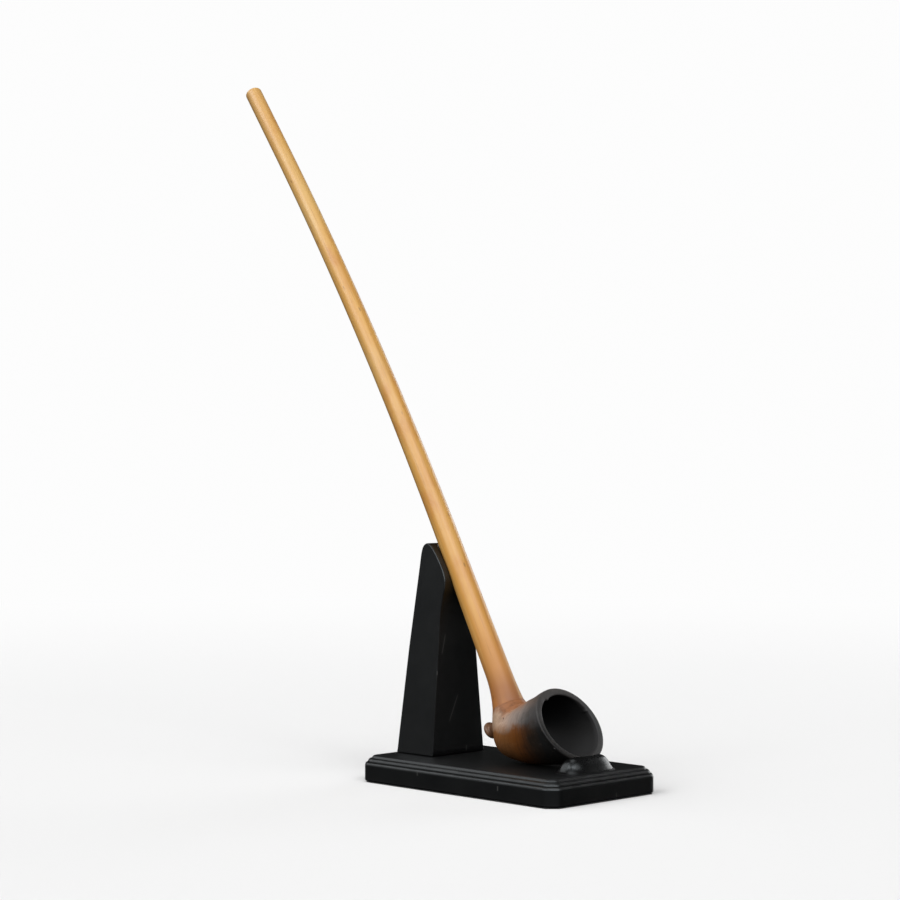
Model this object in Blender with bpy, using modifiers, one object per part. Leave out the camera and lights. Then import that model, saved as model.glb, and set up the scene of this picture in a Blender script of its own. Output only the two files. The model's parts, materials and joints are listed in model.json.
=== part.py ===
"""A long-stemmed wooden pipe that rests on a black display stand, as separate solids.

Frame: metres, +Z up. The origin is the centre of the stand's underside. +X runs along the
plinth from the post towards the bowl's mouth, and the pipe lies in the plane Y = 0.
"""

import math

import bmesh
import bpy
from mathutils import Matrix, Vector

MM = 0.001
GAP = 0.3 * MM  # clearance between pieces that touch or fit

# Plinth: two boards on a felt pad, a rectangle with its corners clipped at 45 degrees.
PLINTH_LENGTH = 146.0 * MM
PLINTH_WIDTH = 84.3 * MM
CORNER_CLIP = 5.6 * MM
FELT_THICKNESS = 0.5 * MM
FELT_INSET = 1.0 * MM
# Edges of the two boards, from the underside up: a rounded edge, then a bead with a small
# step above it. Each row is (inset from the plinth's edge, height) in millimetres.
BASE_EDGE = [
    (0.5, 0.8),
    (0.0, 1.3),
    (0.0, 9.0),
    (0.18, 10.0),
    (0.46, 10.4),
    (0.86, 10.68),
    (1.35, 10.84),
    (2.0, 10.9),
]
TOP_EDGE = [
    (1.8, 11.2),
    (1.8, 11.6),
    (2.2, 12.35),
    (2.6, 12.65),
    (3.1, 12.85),
    (3.9, 13.05),
    (4.15, 13.5),
    (4.4, 14.05),
    (4.75, 14.3),
    (5.2, 14.45),
    (5.8, 14.5),
]
PLINTH_TOP = TOP_EDGE[-1][1] * MM

# Post: side outline in X and Z; its width narrows evenly with height.
POST_HALF_WIDTH = 20.0 * MM
POST_SIDE_LEAN = 0.09
# The stem's groove in the head: where along the stem its radius is taken, and where it ends.
GROOVE_STATION = 65.0 * MM
GROOVE_END = 130.0 * MM
POST_BACK = [(-65.3, 14.8), (-61.2, 72.4), (-57.0, 116.8)]
POST_HEAD = [
    (-56.2, 125.4),
    (-54.9, 129.2),
    (-52.3, 130.7),
    (-49.4, 129.6),
    (-46.0, 126.5),
    (-41.6, 121.0),
    (-38.3, 116.0),
    (-36.3, 111.0),
    (-36.1, 106.0),
]
POST_SCOOP = [(-36.9, 101.0), (-37.8, 95.0), (-38.2, 87.0), (-37.8, 76.0)]
POST_FRONT = [(-36.9, 14.8)]
POST_CURVE_STEPS = 2

# Stem: straight from the joint with the bowl to above the post, then a slow arc, then straight.
JOINT_CENTRE = Vector((2.9 * MM, 0.0, 44.4 * MM))
FOOT_LEAN = 28.25  # degrees from the vertical, towards -X
STEM_LENGTH = 417.0 * MM
STEM_BEND_START = 88.0 * MM
STEM_BEND_END = 372.0 * MM
STEM_BEND_RATE = 24.7  # degrees of lean gained per metre
STEM_FOOT_DIAMETER = 14.6 * MM
STEM_TIP_DIAMETER = 9.9 * MM
STEM_TAPER_SAG = 3.9 * MM  # four times the middle's shortfall from an even taper
FOOT_FLARE = 1.75 * MM
FOOT_FLARE_LENGTH = 20.0 * MM
FOOT_OFFSET = 1.6 * MM  # the flared foot stands a little behind the stem's axis
STEM_TIP_ROUND = 2.0 * MM
STEM_TIP_SHRINK = 0.45  # share of its radius that the tip loses over its rounding
FOOT_STATIONS = [0.3, 4.0, 8.0, 12.0, 16.0, 20.0, 40.0, 64.0]  # millimetres from the joint
TIP_STATIONS = [2.0, 1.2, 0.6, 0.2, 0.0]  # millimetres from the tip
STATION_SPACING = 24.0 * MM
STEM_SIDES = 24
AIRWAY_RADIUS = 1.75 * MM
AIRWAY_SIDES = 12
AIRWAY_OVERRUN = 5.0 * MM  # how far the airway's cutter stands out of both ends
AIRWAY_FIRST = 5  # the stations between which the cutter follows the stem
AIRWAY_LAST = -4

# Tenon: a tube half in the bowl's mortise and half in the stem's foot.
TENON_RADIUS = 3.6 * MM
TENON_IN_BOWL = 8.2 * MM
TENON_IN_STEM = 9.7 * MM
TENON_CHAMFER = 0.4 * MM

# Bowl: round sections (x, z, radius in millimetres, direction of travel in degrees above +X).
BOWL_SECTIONS = [
    (1.3, 44.4, 9.05, FOOT_LEAN - 90.0),
    (4.4, 36.6, 12.4, -45.0),
    (8.6, 32.2, 15.4, -25.0),
    (17.6, 31.8, 17.0, -5.0),
    (30.7, 33.7, 18.8, 15.0),
    (46.2, 37.4, 22.2, 34.5),
]
CHAMBER_SECTIONS = [
    (46.2, 37.4, 18.7, 34.5),
    (38.0, 35.3, 16.7, 23.0),
    (29.0, 33.2, 14.8, 12.0),
    (21.0, 32.1, 11.8, 3.0),
    (16.3, 31.7, 8.0, -3.0),
    (13.8, 31.5, 2.5, -6.0),
]
LIP_ROUND = 0.7 * MM
BOWL_SIDES = 40
SECTION_STEPS = 3
DRAUGHT_RADIUS = 1.5 * MM
DRAUGHT_OVERLAP = 1.0 * MM  # how far the draught hole reaches into the tenon's socket
DRAUGHT_END = Vector((16.0 * MM, 0.0, 31.5 * MM))

# Heel knob: a turned button on a neck, with a peg glued into the heel. The head's rows are
# (distance out from the heel, radius) in millimetres.
KNOB_FOOT = Vector((-5.9 * MM, 0.0, 33.2 * MM))  # where the knob's axis leaves the heel
KNOB_DIP = 32.0  # degrees below the horizontal, towards -X
KNOB_PEG = (1.8 * MM, 5.5 * MM)  # radius, depth
KNOB_NECK = (3.2 * MM, 1.0 * MM)  # radius, depth of its counterbore
KNOB_HEAD = [(8.9, 0.0), (8.6, 2.1), (7.8, 3.9), (7.1, 4.75), (6.2, 4.7), (5.5, 4.1)]
KNOB_HEAD_START = 4.9 * MM  # where the neck meets the head

# Cradle: a low saddle; each level is (height, half length in X, half width in Y) in millimetres.
CRADLE_X = 57.2 * MM
CRADLE_LEVELS = [
    (0.3, 9.6, 19.2),
    (0.9, 8.6, 18.0),
    (2.5, 7.4, 16.4),
    (4.5, 6.4, 15.2),
    (6.2, 5.2, 13.9),
    (7.4, 3.6, 12.2),
    (8.0, 1.7, 9.8),
]
CRADLE_SIDES = 40
CRADLE_SQUARENESS = 0.72  # exponent of the superellipse: 1 is an ellipse, 0 is a rectangle

# Fasteners, all upright and hidden inside the stand.
SCREW_PLACES = {"post_screw_front": -44.0 * MM, "post_screw_rear": -58.0 * MM}
SCREW_HEAD = (4.0 * MM, 2.4 * MM)  # radius, height of the cone
SCREW_SHANK_RADIUS = 2.0 * MM
SCREW_START = 1.1 * MM
SCREW_END = 46.0 * MM
SCREW_POINT = 4.0 * MM
SCREW_SINK = 1.0 * MM  # how far the hole's cutter reaches below the head
SCREW_SLOT = (1.0 * MM, 1.1 * MM)  # width, depth
DOWELS = {
    "post_dowel_left": ((-51.0 * MM, 12.0 * MM), 3.0 * MM, 6.0 * MM, 24.0 * MM),
    "post_dowel_right": ((-51.0 * MM, -12.0 * MM), 3.0 * MM, 6.0 * MM, 24.0 * MM),
    "cradle_dowel_left": ((57.4 * MM, 9.0 * MM), 1.5 * MM, 7.0 * MM, 17.6 * MM),
    "cradle_dowel_right": ((57.4 * MM, -9.0 * MM), 1.5 * MM, 7.0 * MM, 17.6 * MM),
}
DOWEL_CHAMFER = 0.4 * MM
TURNED_STEPS = 24

SMOOTH_ANGLE = math.radians(35.0)
MERGE = 0.00001


def clear_scene():
    for item in list(bpy.data.objects):
        bpy.data.objects.remove(item, do_unlink=True)


def new_collection(name):
    made = bpy.data.collections.new(name)
    bpy.context.scene.collection.children.link(made)
    return made


def new_material(name, colour, roughness, metallic=0.0):
    made = bpy.data.materials.new(name)
    made.use_nodes = True
    shader = made.node_tree.nodes["Principled BSDF"]
    shader.inputs["Base Color"].default_value = (*colour, 1.0)
    shader.inputs["Roughness"].default_value = roughness
    shader.inputs["Metallic"].default_value = metallic
    return made


def add_object(name, mesh, home):
    made = bpy.data.objects.new(name, mesh)
    home.objects.link(made)
    if home.name == "cutters":
        made.hide_render = True
        made.display_type = "WIRE"
    return made


def finish_part(part, material):
    """Give a part its material and smooth shading over its rounded faces."""
    part.data.materials.clear()
    part.data.materials.append(material)
    part.data.shade_smooth()
    part.data.set_sharp_from_angle(angle=SMOOTH_ANGLE)


def cut(part, cutter):
    modifier = part.modifiers.new("cut_" + cutter.name, "BOOLEAN")
    modifier.operation = "DIFFERENCE"
    modifier.object = cutter


def loft(name, rings, home):
    """Skin rings that have the same number of points, and close the first and the last."""
    sides = len(rings[0])
    points = [point for ring in rings for point in ring]
    faces = [tuple(range(sides)), tuple(range(len(points) - sides, len(points)))]
    for row in range(len(rings) - 1):
        for side in range(sides):
            here = row * sides + side
            beside = row * sides + (side + 1) % sides
            faces.append((here, beside, beside + sides, here + sides))
    mesh = bpy.data.meshes.new(name)
    mesh.from_pydata(points, [], faces)
    shape = bmesh.new()
    shape.from_mesh(mesh)
    bmesh.ops.recalc_face_normals(shape, faces=shape.faces)
    shape.to_mesh(mesh)
    shape.free()
    return add_object(name, mesh, home)


def section_ring(x, z, radius, heading, sides):
    """A circle about (x, 0, z) whose normal points along heading, in degrees above +X."""
    turn = math.radians(heading + 90.0)
    upward = Vector((math.cos(turn), 0.0, math.sin(turn)))
    sideways = Vector((0.0, 1.0, 0.0))
    centre = Vector((x, 0.0, z))
    ring = []
    for side in range(sides):
        angle = 2.0 * math.pi * side / sides
        ring.append(centre + radius * (math.cos(angle) * upward + math.sin(angle) * sideways))
    return ring


def smooth_sections(sections, steps):
    """Put steps - 1 sections between neighbours, on a Catmull-Rom curve through all of them."""
    rows = [Vector(section) for section in sections]
    ends = [2.0 * rows[0] - rows[1], *rows, 2.0 * rows[-1] - rows[-2]]
    made = []
    for index in range(1, len(ends) - 2):
        before, start, end, after = ends[index - 1 : index + 3]
        for step in range(steps):
            t = step / steps
            straight = 2.0 * start + (end - before) * t
            bend = 2.0 * before - 5.0 * start + 4.0 * end - after
            twist = 3.0 * start - before - 3.0 * end + after
            made.append((straight + bend * t**2 + twist * t**3) / 2.0)
    return [*made, rows[-1]]


def turned(name, profile, foot, direction, home, steps=TURNED_STEPS, closed=False):
    """Turn a profile of (radius, height) pairs, listed from the top down, about direction."""
    mesh = bpy.data.meshes.new(name)
    points = [(radius, 0.0, height) for radius, height in profile]
    edges = [(index, index + 1) for index in range(len(points) - 1)]
    if closed:
        edges.append((len(points) - 1, 0))
    mesh.from_pydata(points, edges, [])
    made = add_object(name, mesh, home)
    made.location = foot
    made.rotation_euler = direction.to_track_quat("Z", "Y").to_euler()
    screw = made.modifiers.new("turn", "SCREW")
    screw.steps = steps
    screw.render_steps = steps
    screw.use_merge_vertices = True
    screw.merge_threshold = MERGE
    return made


def outline_solid(name, points, bottom, top, home):
    """Extrude a flat outline of (x, y) points from bottom to top, as one welded mesh."""
    curve = bpy.data.curves.new(name, "CURVE")
    curve.dimensions = "2D"
    curve.fill_mode = "BOTH"
    curve.extrude = (top - bottom) / 2.0
    spline = curve.splines.new("POLY")
    spline.points.add(len(points) - 1)
    for place, (x, y) in zip(spline.points, points):
        place.co = (x, y, 0.0, 1.0)
    spline.use_cyclic_u = True
    guide = add_object(name + "_outline", curve, home)
    guide.location.z = (top + bottom) / 2.0
    return weld_curve(guide, name, home)


def weld_curve(guide, name, home):
    """Replace a curve object by a closed mesh object at the same place."""
    bpy.context.view_layer.update()
    depsgraph = bpy.context.evaluated_depsgraph_get()
    mesh = bpy.data.meshes.new_from_object(guide.evaluated_get(depsgraph))
    shape = bmesh.new()
    shape.from_mesh(mesh)
    bmesh.ops.remove_doubles(shape, verts=shape.verts, dist=MERGE)
    bmesh.ops.recalc_face_normals(shape, faces=shape.faces)
    shape.to_mesh(mesh)
    shape.free()
    made = add_object(name, mesh, home)
    made.matrix_world = guide.matrix_world.copy()
    bpy.data.objects.remove(guide, do_unlink=True)
    return made


def clipped_rectangle(inset):
    """The plinth's outline moved inwards by inset, its clipped corners with it."""
    x = PLINTH_LENGTH / 2.0 - inset
    y = PLINTH_WIDTH / 2.0 - inset
    clip = CORNER_CLIP - (2.0 - math.sqrt(2.0)) * inset
    quarter = [(x, y - clip), (x - clip, y)]
    mirrored = [(-px, py) for px, py in reversed(quarter)]
    opposite = [(-px, -py) for px, py in quarter]
    last = [(px, -py) for px, py in reversed(quarter)]
    return quarter + mirrored + opposite + last


def edged_board(name, edge, home):
    """A board whose edge follows the given rows all round."""
    rings = []
    for inset, height in edge:
        corners = clipped_rectangle(inset * MM)
        rings.append([Vector((x, y, height * MM)) for x, y in corners])
    return loft(name, rings, home)


def make_plinth(parts):
    felt = outline_solid("felt_pad", clipped_rectangle(FELT_INSET), 0.0, FELT_THICKNESS, parts)
    base = edged_board("plinth_base", BASE_EDGE, parts)
    return felt, base, edged_board("plinth_top", TOP_EDGE, parts)


def make_post(parts):
    outline = [(x * MM, z * MM) for x, z in POST_BACK]
    rounded = [(x, z, 0.0) for x, z in [POST_BACK[-1], *POST_HEAD, *POST_SCOOP]]
    curve = smooth_sections(rounded, POST_CURVE_STEPS)
    outline += [(row[0] * MM, row[1] * MM) for row in curve[1:]]
    outline += [(x * MM, z * MM) for x, z in POST_FRONT]
    post = outline_solid("post", outline, -POST_HALF_WIDTH, POST_HALF_WIDTH, parts)
    foot = POST_FRONT[0][1] * MM
    for vertex in post.data.vertices:
        x, z, y = vertex.co
        half_width = POST_HALF_WIDTH - POST_SIDE_LEAN * (z - foot)
        vertex.co = (x, -math.copysign(half_width, y), z)
    return post


def stem_centre(distance):
    """Point (x, z) and lean of the stem's centreline, distance along it from the joint."""
    bend_end = min(distance, STEM_BEND_END)
    lean = math.radians(FOOT_LEAN)
    straight = min(distance, STEM_BEND_START)
    x = JOINT_CENTRE.x - straight * math.sin(lean)
    z = JOINT_CENTRE.z + straight * math.cos(lean)
    if distance > STEM_BEND_START:
        rate = math.radians(STEM_BEND_RATE)
        start = lean
        lean = start + rate * (bend_end - STEM_BEND_START)
        x -= (math.cos(start) - math.cos(lean)) / rate
        z += (math.sin(lean) - math.sin(start)) / rate
        x -= (distance - bend_end) * math.sin(lean)
        z += (distance - bend_end) * math.cos(lean)
    return x, z, math.degrees(lean)


def stem_radius(distance):
    """Radius of the stem: a sagging taper, a flare at the foot and a rounded tip."""
    along = distance / STEM_LENGTH
    drop = STEM_FOOT_DIAMETER - STEM_TIP_DIAMETER
    diameter = STEM_FOOT_DIAMETER - drop * along - STEM_TAPER_SAG * along * (1.0 - along)
    flare = FOOT_FLARE * max(0.0, 1.0 - distance / FOOT_FLARE_LENGTH) ** 2
    into_tip = max(0.0, 1.0 - (STEM_LENGTH - distance) / STEM_TIP_ROUND)
    tip = 1.0 - STEM_TIP_SHRINK * (1.0 - math.sqrt(1.0 - into_tip**2))
    return diameter / 2.0 * tip + flare


def stem_stations():
    """Distances along the stem: close together at the foot and at the tip."""
    stations = [station * MM for station in FOOT_STATIONS]
    while stations[-1] + 1.5 * STATION_SPACING < STEM_LENGTH:
        stations.append(stations[-1] + STATION_SPACING)
    return stations + [STEM_LENGTH - station * MM for station in TIP_STATIONS]


def make_stem(parts, cutters):
    rings = []
    for distance in stem_stations():
        x, z, lean = stem_centre(distance)
        x -= FOOT_OFFSET * max(0.0, 1.0 - distance / FOOT_FLARE_LENGTH) ** 2
        rings.append(section_ring(x, z, stem_radius(distance), lean + 90.0, STEM_SIDES))
    stem = loft("stem", rings, parts)
    bore = []
    inside = stem_stations()[AIRWAY_FIRST:AIRWAY_LAST]
    for distance in [-AIRWAY_OVERRUN, *inside, STEM_LENGTH + AIRWAY_OVERRUN]:
        x, z, lean = stem_centre(distance)
        bore.append(section_ring(x, z, AIRWAY_RADIUS, lean + 90.0, AIRWAY_SIDES))
    cut(stem, loft("airway_cutter", bore, cutters))
    return stem


def foot_axis():
    lean = math.radians(FOOT_LEAN)
    return Vector((-math.sin(lean), 0.0, math.cos(lean)))


def rod_between(name, start, end, radius, home):
    length = (end - start).length
    profile = [(0.0, length), (radius, length), (radius, 0.0), (0.0, 0.0)]
    return turned(name, profile, start, end - start, home)


def make_tenon(parts, cutters):
    """The tube, and one cutter for its socket in both the bowl and the stem."""
    outer, inner, chamfer = TENON_RADIUS, AIRWAY_RADIUS, TENON_CHAMFER
    low, high = -TENON_IN_BOWL, TENON_IN_STEM
    profile = [
        (inner, high),
        (outer - chamfer, high),
        (outer, high - chamfer),
        (outer, low + chamfer),
        (outer - chamfer, low),
        (inner, low),
    ]
    axis = foot_axis()
    tenon = turned("tenon", profile, JOINT_CENTRE, axis, parts, closed=True)
    socket_start = JOINT_CENTRE + axis * (low - GAP)
    socket_end = JOINT_CENTRE + axis * (high + GAP)
    socket = rod_between("socket_cutter", socket_start, socket_end, outer + GAP, cutters)
    return tenon, socket


def bowl_rings(sections, grow=0.0):
    rings = []
    for x, z, radius, heading in smooth_sections(sections, SECTION_STEPS):
        rings.append(section_ring(x * MM, z * MM, radius * MM + grow, heading, BOWL_SIDES))
    return rings


def lip_ring(radius, forward):
    """A ring of the given radius, forward of the bowl's last section."""
    x, z, _, heading = BOWL_SECTIONS[-1]
    turn = math.radians(heading)
    shift = Vector((math.cos(turn), 0.0, math.sin(turn))) * forward
    return [point + shift for point in section_ring(x * MM, z * MM, radius, heading, BOWL_SIDES)]


def make_bowl(parts):
    """One skin: up the outside from the joint face, over the lip and down the chamber."""
    outer = BOWL_SECTIONS[-1][2] * MM - LIP_ROUND
    inner = CHAMBER_SECTIONS[0][2] * MM + LIP_ROUND
    lip = [lip_ring(outer, LIP_ROUND), lip_ring(inner, LIP_ROUND)]
    return loft("bowl", [*bowl_rings(BOWL_SECTIONS), *lip, *bowl_rings(CHAMBER_SECTIONS)], parts)


def knob_profile(grow, head):
    """The knob from its outer end inwards, or only its neck and peg for the cutter."""
    peg_radius, peg_depth = KNOB_PEG
    neck_radius, neck_depth = KNOB_NECK
    if head:
        profile = [(radius * MM, distance * MM) for distance, radius in KNOB_HEAD]
        profile.append((neck_radius, KNOB_HEAD_START))
    else:
        profile = [(0.0, KNOB_HEAD_START), (neck_radius + grow, KNOB_HEAD_START)]
    profile += [(neck_radius + grow, -neck_depth - grow), (peg_radius + grow, -neck_depth - grow)]
    profile += [(peg_radius + grow, -peg_depth - grow), (0.0, -peg_depth - grow)]
    return profile


def make_knob(parts, cutters):
    dip = math.radians(KNOB_DIP)
    outward = Vector((-math.cos(dip), 0.0, -math.sin(dip)))
    knob = turned("heel_knob", knob_profile(0.0, True), KNOB_FOOT, outward, parts)
    seat = turned("knob_seat_cutter", knob_profile(GAP, False), KNOB_FOOT, outward, cutters)
    return knob, seat


def make_cradle(parts, cutters):
    rings = []
    for height, half_x, half_y in CRADLE_LEVELS:
        ring = []
        for side in range(CRADLE_SIDES):
            angle = 2.0 * math.pi * side / CRADLE_SIDES
            along = math.copysign(abs(math.cos(angle)) ** CRADLE_SQUARENESS, math.cos(angle))
            across = math.copysign(abs(math.sin(angle)) ** CRADLE_SQUARENESS, math.sin(angle))
            x = CRADLE_X + half_x * MM * along
            ring.append(Vector((x, half_y * MM * across, PLINTH_TOP + height * MM)))
        rings.append(ring)
    cradle = loft("cradle", rings, parts)
    seat = bowl_rings(BOWL_SECTIONS, GAP)
    seat.append(lip_ring(BOWL_SECTIONS[-1][2] * MM + GAP, LIP_ROUND + GAP))
    cut(cradle, loft("bowl_seat_cutter", seat, cutters))
    return cradle


def screw_profile(grow, below):
    """A countersunk screw from its point down to its head; below lengthens the head."""
    head_radius, cone = SCREW_HEAD
    shank = SCREW_SHANK_RADIUS + grow
    head_top = SCREW_START + cone + grow
    return [
        (0.0, SCREW_END + grow),
        (shank, SCREW_END - SCREW_POINT + grow),
        (shank, head_top),
        (head_radius + grow, SCREW_START + grow),
        (head_radius + grow, SCREW_START - below),
        (0.0, SCREW_START - below),
    ]


def make_screw(name, x, parts, cutters):
    """A screw with its driver slot, and the cutter for its hole."""
    foot = Vector((x, 0.0, 0.0))
    upward = Vector((0.0, 0.0, 1.0))
    profile = screw_profile(0.0, 0.0)
    profile.pop(-2)
    screw = turned(name, profile, foot, upward, parts)
    slot_width, slot_depth = SCREW_SLOT
    size = Vector((3.0 * SCREW_HEAD[0], slot_width, 2.0 * slot_depth))
    mesh = bpy.data.meshes.new(name + "_slot_cutter")
    shape = bmesh.new()
    bmesh.ops.create_cube(shape, size=1.0, matrix=Matrix.Diagonal(size).to_4x4())
    shape.to_mesh(mesh)
    shape.free()
    slot = add_object(name + "_slot_cutter", mesh, cutters)
    slot.location = (x, 0.0, SCREW_START)
    cut(screw, slot)
    hole = screw_profile(GAP, SCREW_SINK)
    return screw, turned(name + "_hole_cutter", hole, foot, upward, cutters)


def make_dowel(name, place, radius, bottom, top, parts, cutters):
    """A dowel with eased ends, and the cutter for its hole."""
    foot = Vector((*place, bottom))
    upward = Vector((0.0, 0.0, top - bottom))
    length = top - bottom
    eased = radius - DOWEL_CHAMFER
    profile = [(0.0, length), (eased, length), (radius, length - DOWEL_CHAMFER)]
    profile += [(radius, DOWEL_CHAMFER), (eased, 0.0), (0.0, 0.0)]
    dowel = turned(name, profile, foot, upward, parts)
    hole_start = foot - Vector((0.0, 0.0, GAP))
    hole_end = foot + upward + Vector((0.0, 0.0, GAP))
    return dowel, rod_between(name + "_hole_cutter", hole_start, hole_end, radius + GAP, cutters)


def main():
    clear_scene()
    parts = new_collection("pipe_on_display_stand")
    cutters = new_collection("cutters")

    black = new_material("satin_black", (0.012, 0.012, 0.013), 0.38)
    honey = new_material("honey_wood", (0.55, 0.29, 0.10), 0.35)
    burnt = new_material("smoked_wood", (0.10, 0.055, 0.035), 0.4)
    russet = new_material("russet_wood", (0.22, 0.11, 0.06), 0.4)
    beech = new_material("dowel_wood", (0.62, 0.45, 0.27), 0.6)
    steel = new_material("zinc_steel", (0.62, 0.62, 0.60), 0.35, 1.0)
    baize = new_material("black_felt", (0.015, 0.015, 0.015), 0.95)

    felt, base, board = make_plinth(parts)
    post = make_post(parts)
    cradle = make_cradle(parts, cutters)
    stem = make_stem(parts, cutters)
    tenon, socket = make_tenon(parts, cutters)
    bowl = make_bowl(parts)
    knob, knob_seat = make_knob(parts, cutters)

    axis = foot_axis()
    groove_radius = stem_radius(GROOVE_STATION) + GAP
    groove_end = JOINT_CENTRE + axis * GROOVE_END
    cut(post, rod_between("groove_cutter", JOINT_CENTRE, groove_end, groove_radius, cutters))
    cut(stem, socket)
    cut(bowl, socket)
    cut(bowl, knob_seat)
    draught_start = JOINT_CENTRE - axis * (TENON_IN_BOWL - DRAUGHT_OVERLAP)
    cut(bowl, rod_between("draught_cutter", draught_start, DRAUGHT_END, DRAUGHT_RADIUS, cutters))

    for name, x in SCREW_PLACES.items():
        screw, hole = make_screw(name, x, parts, cutters)
        finish_part(screw, steel)
        for piece in (base, board, post):
            cut(piece, hole)
    for name, (place, radius, bottom, top) in DOWELS.items():
        dowel, hole = make_dowel(name, place, radius, bottom, top, parts, cutters)
        finish_part(dowel, beech)
        held = post if name.startswith("post") else cradle
        for piece in (base, board, held):
            cut(piece, hole)

    for piece in (base, board, post, cradle):
        finish_part(piece, black)
    finish_part(felt, baize)
    finish_part(stem, honey)
    finish_part(bowl, burnt)
    finish_part(knob, russet)
    finish_part(tenon, honey)


main()
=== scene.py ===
"""Looks of the long-stemmed pipe and its display stand: fine meshes, materials and a studio.

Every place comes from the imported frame. Lengths are in metres; rows given in millimetres say so.
"""

import json
import math

import bmesh
import bpy
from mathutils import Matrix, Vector, noise
from mathutils.bvhtree import BVHTree


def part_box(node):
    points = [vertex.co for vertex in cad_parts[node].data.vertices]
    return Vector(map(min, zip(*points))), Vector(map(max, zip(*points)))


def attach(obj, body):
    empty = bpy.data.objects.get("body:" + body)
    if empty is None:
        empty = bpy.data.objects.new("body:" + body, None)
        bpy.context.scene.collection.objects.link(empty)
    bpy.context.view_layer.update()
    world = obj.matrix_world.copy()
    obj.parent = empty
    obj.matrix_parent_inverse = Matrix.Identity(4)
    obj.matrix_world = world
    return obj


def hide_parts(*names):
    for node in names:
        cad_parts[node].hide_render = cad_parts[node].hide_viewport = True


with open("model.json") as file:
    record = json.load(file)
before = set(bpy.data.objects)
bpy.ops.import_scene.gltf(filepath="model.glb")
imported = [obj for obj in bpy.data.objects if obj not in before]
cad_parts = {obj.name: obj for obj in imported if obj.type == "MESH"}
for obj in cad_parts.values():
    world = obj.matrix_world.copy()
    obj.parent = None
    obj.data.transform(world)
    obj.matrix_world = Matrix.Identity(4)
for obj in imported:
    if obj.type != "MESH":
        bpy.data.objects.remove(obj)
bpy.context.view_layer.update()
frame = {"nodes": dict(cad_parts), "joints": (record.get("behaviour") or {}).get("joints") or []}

MM = 0.001
JOINTS = {joint["name"]: joint for joint in frame["joints"]}
BASE_LOW, BASE_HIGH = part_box("plinth_base")
TOP_LOW, TOP_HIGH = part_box("plinth_top")
POST_LOW, POST_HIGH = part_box("post")
CRADLE_LOW, CRADLE_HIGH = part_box("cradle")

# The stem's foot: where it meets the bowl, and the straight stretch's direction.
JOINT_CENTRE = Vector(JOINTS["stem_twist"]["pos_m"])
FOOT_AXIS = Vector(JOINTS["stem_twist"]["axis"]).normalized()
FOOT_LEAN = math.degrees(math.asin(-FOOT_AXIS.x))

CORNER_CLIP = 5.6 * MM
CORNER_ROUND = 5.0 * MM


# --- Meshes -----------------------------------------------


def skin_faces(count, sides, loop):
    """Quads between count rings of points, and either a loop of them or two flat ends."""
    faces = []
    for row in range(count if loop else count - 1):
        after = (row + 1) % count
        for side in range(sides):
            beside = (side + 1) % sides
            corners = (row * sides + side, row * sides + beside)
            faces.append((*corners, after * sides + beside, after * sides + side))
    if not loop:
        faces.append(tuple(reversed(range(sides))))
        faces.append(tuple(range((count - 1) * sides, count * sides)))
    return faces


def add_field(mesh, name, rows):
    """Store a value for each point, a number or three of them, under a name."""
    values = [value for row in rows for value in row]
    if isinstance(values[0], float):
        mesh.attributes.new(name, "FLOAT", "POINT").data.foreach_set("value", values)
    else:
        parts = [part for value in values for part in value]
        mesh.attributes.new(name, "FLOAT_VECTOR", "POINT").data.foreach_set("vector", parts)


def skin(name, rings, body, slot, replaces, loop=False, **fields):
    """Skin equal closed rings of points, smooth, as one piece that rides on a body.

    fields are named values for each point, as rows like rings.
    """
    mesh = bpy.data.meshes.new(name)
    faces = skin_faces(len(rings), len(rings[0]), loop)
    mesh.from_pydata([point for ring in rings for point in ring], [], faces)
    for field, rows in fields.items():
        add_field(mesh, field, rows)
    shape = bmesh.new()
    shape.from_mesh(mesh)
    bmesh.ops.recalc_face_normals(shape, faces=shape.faces)
    shape.to_mesh(mesh)
    shape.free()
    mesh.shade_smooth()
    made = bpy.data.objects.new(name, mesh)
    bpy.context.scene.collection.objects.link(made)
    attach(made, body)
    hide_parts(*replaces)
    return made


def keep_sharp(piece, degrees):
    """Leave edges that turn by more than degrees out of the smooth shading."""
    piece.data.set_sharp_from_angle(angle=math.radians(degrees))


def wobble(point, scale, size, seed):
    """A smooth wandering number of about size, that changes over about scale metres."""
    return size * noise.noise(point / scale + Vector((seed, 2.0 * seed, -seed)))


def peak(value, middle, reach):
    """1 at middle, falling evenly to 0 at reach to either side of it."""
    return max(0.0, 1.0 - abs(value - middle) / reach)


def section_ring(x, z, radius, heading, sides):
    """A circle about (x, 0, z) whose normal points along heading, in degrees above +X."""
    turn = math.radians(heading + 90.0)
    upward = Vector((math.cos(turn), 0.0, math.sin(turn)))
    ring = []
    for side in range(sides):
        angle = 2.0 * math.pi * side / sides
        spoke = math.cos(angle) * upward + math.sin(angle) * Vector((0.0, 1.0, 0.0))
        ring.append(Vector((x, 0.0, z)) + radius * spoke)
    return ring


def smooth_sections(sections, steps):
    """Put steps - 1 sections between neighbours, on a Catmull-Rom curve through all of them."""
    rows = [Vector(section) for section in sections]
    ends = [2.0 * rows[0] - rows[1], *rows, 2.0 * rows[-1] - rows[-2]]
    made = []
    for index in range(1, len(ends) - 2):
        before, start, end, after = ends[index - 1 : index + 3]
        for step in range(steps):
            t = step / steps
            straight = 2.0 * start + (end - before) * t
            bend = 2.0 * before - 5.0 * start + 4.0 * end - after
            twist = 3.0 * start - before - 3.0 * end + after
            made.append((straight + bend * t**2 + twist * t**3) / 2.0)
    return [*made, rows[-1]]


# --- Plinth -----------------------------------------------

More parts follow.
